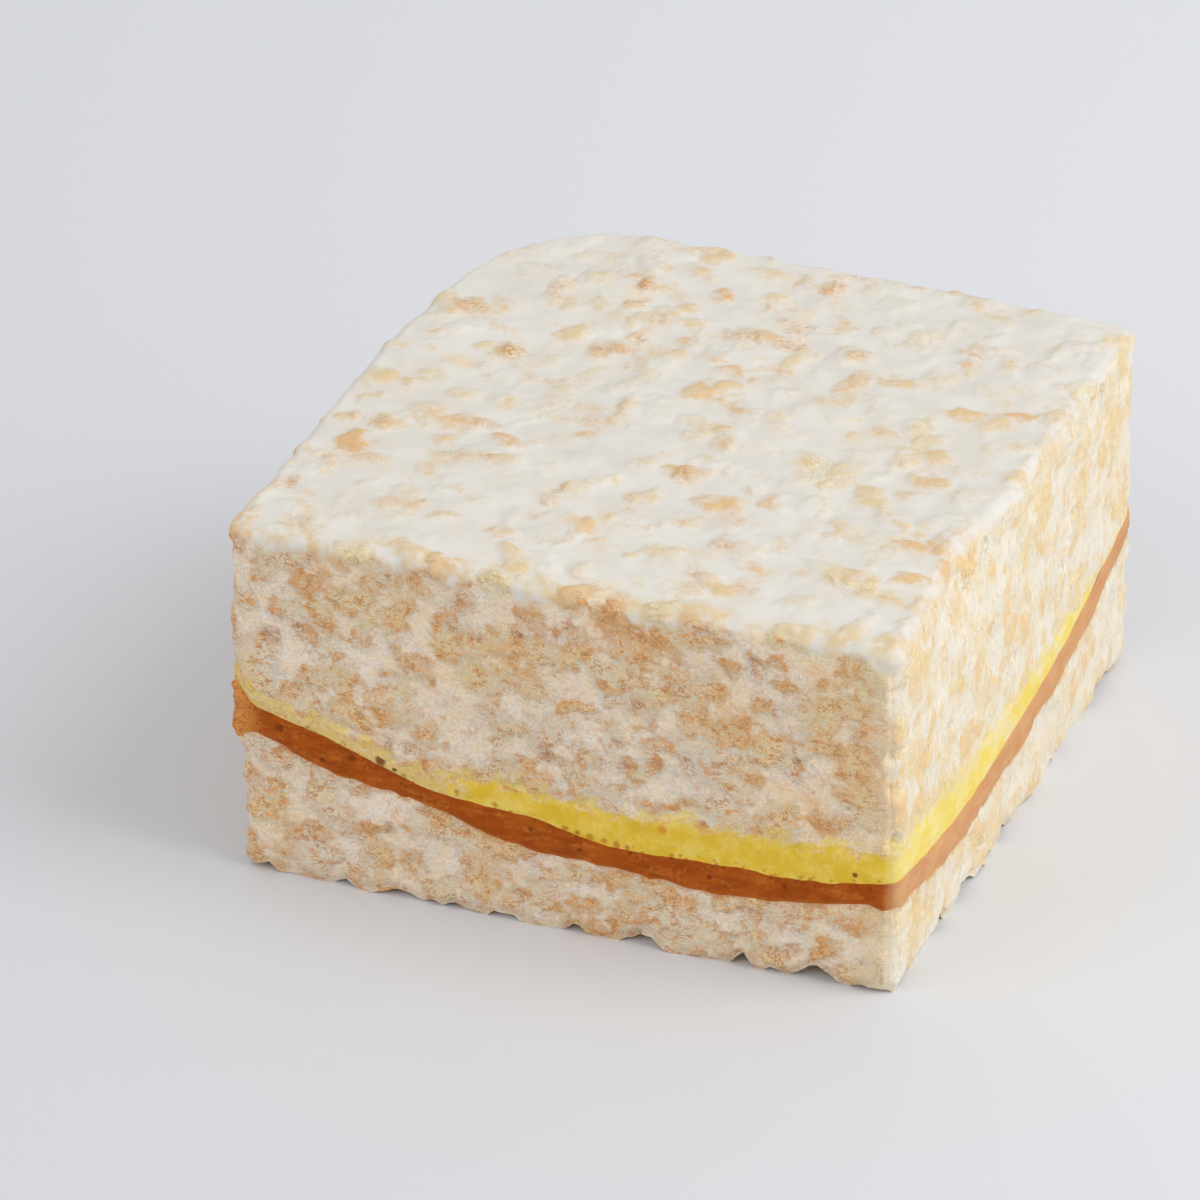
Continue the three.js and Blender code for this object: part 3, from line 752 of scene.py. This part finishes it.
class Finish:
    """One material under construction."""

    def __init__(self, name):
        self.material = bpy.data.materials.new(name)
        self.material.use_nodes = True
        self.tree = self.material.node_tree
        self.tree.nodes.clear()
        place = self.node("ShaderNodeTexCoord", output="Object")
        self.true_place = self.place = self.vector("SCALE", place, Scale=1 / MM)

    def node(self, kind, settings=None, sockets=None, output=0):
        made = self.tree.nodes.new(kind)
        for name, value in (settings or {}).items():
            setattr(made, name, value)
        for name, value in (sockets or {}).items():
            if isinstance(value, Wire):
                self.tree.links.new(value.socket, made.inputs[name])
            else:
                made.inputs[name].default_value = value
        return Wire(self, made.outputs[output])

    def vector(self, operation, first, second=None, **named):
        sockets = {0: first, **named}
        if second is not None:
            sockets[1] = second
        return self.node("ShaderNodeVectorMath", {"operation": operation}, sockets)

    def attributes(self, *names):
        return [self.node("ShaderNodeAttribute", {"attribute_name": name}, output="Fac")
                for name in names]

    def moved(self, offset, stretch):
        stretched = self.vector("MULTIPLY", self.place, stretch)
        return self.vector("ADD", stretched, (offset, offset, offset))

    def noise(self, size, detail=2.0, roughness=0.55, offset=0.0, stretch=(1, 1, 1)):
        return self.node("ShaderNodeTexNoise", sockets={
            "Vector": self.moved(offset, stretch), "Scale": 1 / size,
            "Detail": detail, "Roughness": roughness}, output="Fac")

    def toasting(self, toast, *colours):
        """The colour of a grain as toasted as this, between a pale, a middle and a dark one."""
        ramp = self.node("ShaderNodeValToRGB", sockets={"Fac": toast}, output="Color")
        elements = ramp.socket.node.color_ramp.elements
        elements.new(1)
        for element, place, colour in zip(elements, (0.0, 0.5, 0.9), colours):
            element.position = place
            element.color = colour
        return ramp

    def across(self, axis):
        """The X, Y or Z of a point in millimetres, for an axis of 0, 1 or 2."""
        return self.node("ShaderNodeSeparateXYZ", sockets={"Vector": self.true_place}, output=axis)

    def stretch_upwards(self, share):
        """Draws the patterns that come after this out along Z, by 1 / share."""
        scale = self.node("ShaderNodeCombineXYZ", sockets={"X": 1.0, "Y": 1.0, "Z": share})
        self.place = self.vector("MULTIPLY", self.true_place, scale)

    def cells(self, size, offset, within=0.2, beyond=0.5):
        """1 at the middles of cells and 0 between them."""
        apart = self.node("ShaderNodeTexVoronoi", sockets={
            "Vector": self.moved(offset, (1, 1, 1)), "Scale": 1 / size}, output="Distance")
        return 1 - apart.step(within, beyond)

    def spots(self, places, softness=0.4):
        """1 in round spots of the front face, given as x, z and radius, and 0 elsewhere."""
        front = 1 - self.across(1).step(2.0 - DEPTH / 2, 3.0 - DEPTH / 2)
        flat = self.vector("MULTIPLY", self.true_place, (1, 0, 1))
        total = 0.0
        for x, z, radius in places:
            apart = self.node("ShaderNodeVectorMath", {"operation": "DISTANCE"},
                              {0: flat, 1: (x, 0, z)}, "Value")
            total = total + (1 - apart.step(radius * (1 - softness), radius * (1 + softness)))
        return front * total

    def mix(self, share, first, second):
        return self.node("ShaderNodeMix", {"data_type": "RGBA"}, {0: share, 6: first, 7: second}, 2)

    def bump(self, height, distance, strength=1.0):
        return self.node("ShaderNodeBump", sockets={
            "Height": height, "Distance": distance * MM, "Strength": strength}, output="Normal")

    def surface(self, shade, roughness, shine, **sockets):
        shader = self.node("ShaderNodeBsdfPrincipled", sockets={
            "Base Color": shade, "Roughness": roughness, "Specular IOR Level": shine, **sockets})
        end = self.tree.nodes.new("ShaderNodeOutputMaterial")
        self.tree.links.new(shader.socket, end.inputs["Surface"])
        return self.material


def seen_under(light):
    """A function that gives a surface's own colour from its looks under such a light, as red,
    green and blue from 0 to 255."""
    def colour(*looks):
        shown = [value / 255 for value in looks]
        linear = [c / 12.92 if c <= 0.04045 else ((c + 0.055) / 1.055) ** 2.4 for c in shown]
        return (*(min(c / light, BRIGHTEST) for c in linear), 1.0)
    return colour


on_floor, on_top, on_right = seen_under(1.0), seen_under(TOP_LIGHT), seen_under(RIGHT_LIGHT)
on_front, on_cut = seen_under(FRONT_LIGHT), seen_under(CUT_LIGHT)


# ---- The finishes.

def front_toast_and_glow(finish):
    """How much more toasted the front looks: most near the top and the right, where part of the rise
    is a painted warm glow of light shining through from the right face, and not at all in the milky
    strip at its right end."""
    x, z = finish.across(0), finish.across(2)
    # Part of the rise towards the right is a painted warm glow of light shining through from the right
    # face.
    warm = 0.10 * z.step(31, 40) + 0.22 * x.step(22, 34) - 0.9 * x.step(36.6, 37.6)
    return warm - 0.03 * (1 - z.step(3, 14)) + 0.03


def milk_and_grains(finish, strength, cloud, toast, dragged):
    """Milky marshmallow where the strength is low, and toasted grains where it is high."""
    milk_front = finish.mix(cloud.step(0.38, 0.62), on_cut(205, 187, 161), on_cut(204, 194, 183))
    # On the right face the milk and the grains take paler copies, partly from the knife's smear and
    # partly as painted light.
    milk_right = finish.mix(cloud.step(0.4, 0.6), on_right(239, 229, 208), on_right(240, 233, 218))
    milk = finish.mix(dragged, milk_front, milk_right)
    toasted = finish.mix(
        dragged,
        finish.toasting(toast, on_cut(213, 190, 142), on_cut(208, 170, 115), on_cut(201, 151, 94)),
        finish.toasting(toast, on_right(240, 220, 171), on_right(240, 213, 160),
                        on_right(239, 205, 152)))
    return finish.mix(strength.step(-0.1, 1.0), milk, toasted)


def seam_stains(finish, shade, cloud, crumb, dragged):
    """The shade tinged by the yellow below it and stained by the caramel above it."""
    above, below = finish.attributes("above", "below")
    tinge = 0.7 * (1 - (above + 8.0 * (cloud - 0.5) + 5.0 * (crumb - 0.5)).step(0.2, 1.1))
    # The right face takes paler copies of the yellow tinge and the caramel stain, as painted light.
    yellow = finish.mix(dragged, on_cut(207, 180, 88), on_right(241, 219, 126))
    stain = 0.6 * (1 - (below + 5.0 * (crumb - 0.5)).step(-0.1, 0.5))
    brown = finish.mix(dragged, on_cut(172, 106, 54), on_right(222, 172, 116))
    return finish.mix(stain, finish.mix(tinge, shade, yellow), brown)


def cut_rice_tones(finish):
    """The colour and the fine relief of cut rice: mottled tan grains in milky marshmallow,
    streaked upwards on the face that the knife smeared, and whiter there, partly from the smear and
    partly as painted light."""
    names = ("grain", "shown", "toast", "side", "pit", "dragged")
    grain, shown, toast, side, pit, dragged = finish.attributes(*names)
    finish.stretch_upwards(1 - 0.6 * dragged.beyond(0.5))
    cloud = finish.noise(2.4, 3, 0.6, offset=3)
    crumb = finish.noise(0.8, 4, 0.72, offset=9)
    fine = finish.noise(0.3, 2, 0.6, offset=21)
    broad = finish.noise(9.0, 2, offset=1)
    where = finish.noise(1.7, 2, offset=47)
    inside = (grain + 3.0 * (cloud - 0.5) + 2.0 * (crumb - 0.5)).step(-1.0, 0.8)
    rough = inside * (1 - 0.75 * dragged)

    strength = inside * (0.36 + 0.5 * shown + 0.16 * side) + 1.2 * (cloud - 0.5)
    strength = strength + (1.4 - 0.7 * dragged) * (crumb - 0.5)
    strength = strength + 2.0 * (broad - 0.5) + (1 - dragged) * front_toast_and_glow(finish)
    shade = milk_and_grains(finish, strength, cloud, toast, dragged)

    specks = finish.mix(fine.step(0.36, 0.64), on_cut(178, 143, 106), on_cut(208, 199, 184))
    shade = finish.mix((0.06 + 0.14 * rough) * (1 - 0.8 * dragged), shade, specks)
    # A brown band along one side of each grain's outline: partly toasted skin, partly painted shade on
    # that side.
    rim = 1 - abs(grain + 2.0 * (crumb - 0.5) + 1.2 * (where - 0.5) - 0.2).step(0.08, 0.45)
    rim = rim * (side + 1.5 * (where - 0.5)).step(-0.1, 0.7)
    # A brown for the grains' rims and for the painted shadow spots, paler on the right face as painted
    # light.
    toast_and_shadow_brown = finish.mix(dragged, on_cut(196, 135, 76), on_right(237, 202, 146))
    shade = finish.mix(0.55 * rim * (0.4 + 0.6 * shown), shade, toast_and_shadow_brown)
    # Painted shade: small orange-brown shadow spots between the crumbs, drawn out along X.
    shadow_spots = finish.noise(0.9, 4, 0.68, offset=61, stretch=FLAT)
    shadow_spots = (shadow_spots + 1.0 * (cloud - 0.5)).step(0.57, 0.64) * (0.25 + 0.75 * inside)
    shade = finish.mix(0.7 * shadow_spots, shade, toast_and_shadow_brown)

    # Painted shade: thin dark strokes for the shaded gaps between crumbs.
    strokes = finish.noise(0.75, 2, offset=41, stretch=FLAT)
    dark = strokes.line(0.04) * where.step(0.47, 0.57) * (0.2 + 0.8 * rough)
    shade = finish.mix(0.75 * dark * (1 - 0.6 * dragged), shade, on_cut(172, 116, 66))
    # Painted highlights: thin light strokes for light caught on the crumbs.
    light = finish.noise(0.62, 2, offset=53).line(0.04) * (1 - where.step(0.44, 0.56))
    shade = finish.mix(0.8 * light * (0.3 + 0.7 * rough), shade, on_cut(230, 211, 190))
    # Painted shade: the holes are darkened over their real relief.
    hole = (pit + 1.6 * (crumb - 0.5)).step(0.2, 0.9) * (1 - 0.8 * dragged)
    hollow = finish.mix(fine.step(0.46, 0.6), on_cut(176, 124, 88), on_cut(212, 192, 168))
    shade = finish.mix(0.6 * hole, shade, hollow)
    shade = seam_stains(finish, shade, cloud, crumb, dragged)
    # Painted light: the front is lighter where its wavy edge near the right corner turns towards the
    # lamp.
    painted_light = finish.across(0).step(33.5, 36.5) * (1 - dragged)
    shade = finish.mix(0.6 * painted_light, shade, on_cut(208, 187, 154))
    height = rough * (1.2 * crumb + 0.5 * fine) + 0.9 * cloud - 0.4 * dark + 0.3 * light - 0.3 * hole
    return shade, height * abs(2 * dragged - 1)


def film_tones(finish):
    """The colour and the fine relief of the film, with the grains under it showing through."""
    grain, shown, toast, side = finish.attributes("grain", "shown", "toast", "side")
    broad = finish.noise(1.9, 3, offset=13)
    mottle = finish.noise(0.6, 3, 0.65, offset=23)
    veil = finish.noise(7.0, 3, 0.6, offset=43)
    near = (grain + 3.0 * (broad - 0.5) + 1.0 * (mottle - 0.5)).step(-1.0, 1.3)
    strength = near * (0.62 * shown + 0.34 * side + 0.08 + 1.4 * (mottle - 0.5) + 1.2 * (veil - 0.5))
    near_front = 1 - finish.across(1).step(0.5 - DEPTH / 2, 4.0 - DEPTH / 2)
    strength = strength + 1.2 * (veil - 0.5) + near_front * (0.34 + 2.4 * (broad - 0.5))
    milk = finish.mix(finish.noise(5.0, 3, offset=7).step(0.38, 0.62), on_top(226, 220, 210),
                      on_top(231, 227, 218))
    patch = finish.toasting(toast, on_top(227, 209, 174), on_top(227, 202, 160),
                            on_top(225, 181, 128))
    shade = finish.mix(strength.step(0.0, 0.95), milk, patch)
    height = 0.35 * finish.noise(1.6, 3, offset=2) + 0.15 * near * mottle
    return shade, height


def puffed_rice_finish():
    """The rice layers: cut faces, milky where the film hangs over the edge."""
    finish = Finish("puffed_rice")
    cover, = finish.attributes("cover")
    film_shade, film_height = film_tones(finish)
    cut_shade, cut_height = cut_rice_tones(finish)
    shade = finish.mix(cover, cut_shade, film_shade)
    height = cover * film_height * 0.5 + (1 - cover) * cut_height
    return finish.surface(shade, 0.55, 0.5, Normal=finish.bump(height, 0.5, 0.7), IOR=1.4)


def yellow_finish():
    """Spongy yellow marshmallow, ragged under the rice, with a row of bubbles on the caramel, its
    bubbles and holes darkened with painted shade, and paler on the right face as painted light.
    """
    finish = Finish("yellow_marshmallow")
    above, below, dragged = finish.attributes("above", "below", "dragged")
    soft = finish.noise(2.6, 3)
    fine = finish.noise(0.5, 4, 0.65, offset=4)
    ragged = finish.noise(1.5, 4, 0.65, offset=6)
    front = finish.mix(soft.step(0.36, 0.64), on_front(204, 169, 48), on_front(210, 180, 72))
    front = finish.mix(0.45 * (fine + soft - 0.5).step(0.5, 0.66), front, on_front(213, 191, 106))
    faint = 1 - (finish.across(0) + 30 * (ragged - 0.5)).step(-16, -9)
    front = finish.mix(0.75 * faint, front, on_front(194, 173, 116))
    # Painted light: the right face is a paler copy of the yellow, for the light falling on it from the
    # right.
    right = finish.mix(soft.step(0.36, 0.64), on_right(242, 216, 102), on_right(242, 224, 140))
    patchy = finish.noise(3.2, 3, offset=14).step(0.5, 0.62)
    patchy = patchy * (0.2 + 0.8 * finish.across(1).step(-28, 4))
    right = finish.mix(0.7 * patchy, right, on_right(239, 224, 188))
    shade = finish.mix(dragged, front, right)
    pale = 1 - (below + 8.0 * (ragged - 0.5) - 0.5 * faint).step(-0.2, 0.9)
    crumbs = finish.mix(fine.step(0.4, 0.6), on_front(204, 156, 92), on_front(208, 190, 150))
    crumbs = finish.mix(dragged, crumbs, on_right(239, 222, 178))
    shade = finish.mix(0.7 * pale, shade, crumbs)
    # The bubbles along the caramel and the seam holes are darkened to a caramel brown: caramel seen in
    # them, and painted shade.
    bubbles = finish.cells(0.7, 2) * finish.noise(2.6, 2, offset=8).step(0.42, 0.54)
    bubbles = bubbles * (1 - above.step(0.3, 0.8)) * (1 - dragged) + 0.9 * finish.spots(SEAM_HOLES)
    shade = finish.mix(0.75 * bubbles, shade, on_front(164, 98, 34))
    shade = finish.mix(0.7 * finish.spots(YELLOW_BITS, 0.7), shade, on_front(190, 112, 28))
    # Painted shade: the holes are darkened to a deep brown.
    holes = finish.spots(YELLOW_HOLES)
    shade = finish.mix(0.9 * holes, shade, on_front(110, 56, 14))
    height = (0.6 * fine + 0.4 * soft - 0.2 * bubbles - 0.4 * holes) * abs(2 * dragged - 1)
    return finish.surface(shade, 0.6, 0.15, Normal=finish.bump(height, 0.4, 0.6), IOR=1.4)


def caramel_finish():
    """Soft caramel: satin and a little grainy, with pits darkened by painted shade, lighter along its
    edges, much paler on the right face as painted sheen, and crumbly where it ends at the left corner."""
    finish = Finish("soft_caramel")
    above, below, dragged = finish.attributes("above", "below", "dragged")
    soft = finish.noise(3.0, 3, stretch=(1, 1, 2))
    fine = finish.noise(0.45, 4, 0.65, offset=6)
    drawn = finish.noise(1.6, 4, 0.6, offset=31, stretch=(0.5, 1, 1.6))
    front = finish.mix(soft.step(0.36, 0.64), on_front(138, 61, 9), on_front(154, 75, 14))
    front = finish.mix(0.7 * (drawn + 0.6 * (fine - 0.5)).step(0.5, 0.7), front, on_front(174, 98, 36))
    # Painted sheen: the right face is a much paler copy of the caramel, for the light that grazes it
    # there.
    right = finish.mix(soft.step(0.34, 0.66), on_right(209, 150, 100), on_right(216, 163, 112))
    right = finish.mix(0.3 * fine.step(0.5, 0.72), right, on_right(226, 180, 128))
    shade = finish.mix(dragged, front, right)
    edge = 1 - (above + 0.8 * (soft - 0.5)).step(0.0, 0.5)
    edge_shade = finish.mix(dragged, on_front(170, 96, 34), on_right(226, 178, 122))
    shade = finish.mix(0.5 * edge, shade, edge_shade)
    # Painted shade: the pits and holes are darkened.
    pits = finish.cells(0.8, 12, 0.1, 0.26) * finish.noise(2.4, 2, offset=18).step(0.54, 0.64)
    pits = pits * (1 - dragged) + finish.spots(CARAMEL_HOLES) + 0.8 * finish.spots(SEAM_HOLES)
    # Painted shade: dark cells for the row of bubbles along the caramel's top.
    bubble_row_shade = finish.cells(0.7, 22) * finish.noise(2.6, 2, offset=8).step(0.42, 0.54)
    bubble_row_shade = bubble_row_shade * (1 - below.step(0.2, 0.7)) * (1 - dragged)
    shade = finish.mix(0.6 * bubble_row_shade, shade, on_front(112, 54, 16))
    shade = finish.mix(0.8 * pits, shade, on_front(108, 46, 14))
    x, y = finish.across(0), finish.across(1)
    end = 1 - (x + y + 10 * (fine - 0.5)).step(-76.0, -73.0)
    crumbs = finish.mix(fine.step(0.36, 0.62), on_front(178, 100, 36), on_front(214, 156, 88))
    shade = finish.mix(0.75 * end, shade, crumbs)
    height = (0.6 * soft + 0.5 * fine + 0.5 * end * fine - 0.4 * pits) * abs(2 * dragged - 1)
    return finish.surface(shade, 0.45, 0.12, Normal=finish.bump(height, 0.4, 0.6), IOR=1.4)


def floor_finish():
    """Pale and plain, with painted light: a little brighter towards the back right."""
    finish = Finish("pale_floor")
    back = 0.5 * finish.across(0) + 0.86 * finish.across(1)
    painted_light_tone = finish.mix(back.step(-230, 280), on_floor(217, 219, 223.5), on_floor(236.5, 238, 243.5))
    return finish.surface(painted_light_tone, 0.6, 0.2)


# ---- Camera, floor and light.

def away_from(target, azimuth, elevation, distance):
    """The place, in metres, that lies in this direction from a target."""
    a, e = math.radians(azimuth), math.radians(elevation)
    way = np.array((math.sin(a) * math.cos(e), -math.cos(a) * math.cos(e), math.sin(e)))
    return (np.array(target) + distance * way) * MM


def look_at(thing, target):
    way = Vector(target) * MM - thing.location
    thing.rotation_euler = way.to_track_quat("-Z", "Y").to_euler()


def set_camera():
    bpy.ops.object.camera_add(location=away_from(**CAMERA))
    camera = bpy.context.active_object
    look_at(camera, CAMERA["target"])
    camera.data.sensor_width = SENSOR
    camera.data.lens = SENSOR * FOCAL_PIXELS / PICTURE_PIXELS
    camera.data.clip_end = 20
    bpy.context.scene.camera = camera


def set_floor():
    bpy.ops.mesh.primitive_plane_add(size=FLOOR_SIDE, location=(0, 0, 0))
    floor = bpy.context.active_object
    floor.name = "floor"
    floor.data.materials.append(floor_finish())


def soft_light(name, azimuth, elevation, distance, size, power, tint):
    place = away_from(MIDDLE, azimuth, elevation, distance)
    bpy.ops.object.light_add(type="AREA", location=place)
    light = bpy.context.active_object
    light.name = name
    look_at(light, MIDDLE)
    light.data.shape = "DISK"
    light.data.size = size * MM
    light.data.energy = power
    light.data.color = tint


def set_light():
    soft_light("key", 88, 52, 700, 420, 1.5, (1.0, 0.99, 0.975))
    soft_light("side", 95, 15, 800, 700, 1.6, (1.0, 0.985, 0.96))
    soft_light("fill", -40, 30, 900, 600, 1.2, (1.0, 0.95, 0.88))
    world = bpy.data.worlds.new("studio")
    bpy.context.scene.world = world
    world.use_nodes = True
    room = world.node_tree.nodes["Background"].inputs
    room["Color"].default_value = ROOM_TINT
    room["Strength"].default_value = ROOM_LIGHT
    bpy.context.scene.view_settings.view_transform = "Standard"


# ---- The treat, put together.

def dress(piece, material, node):
    piece.data.materials.clear()
    piece.data.materials.append(material)
    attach(piece, "root")
    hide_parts(node)


set_camera()
set_floor()
set_light()
rice_finish = puffed_rice_finish()
dress(upper_rice(), rice_finish, "rice_upper_layer")
dress(marshmallow_film(), rice_finish, "rice_upper_layer")
dress(yellow_marshmallow(), yellow_finish(), "yellow_marshmallow_layer")
dress(caramel(), caramel_finish(), "caramel_layer")
dress(lower_rice(), rice_finish, "rice_lower_layer")
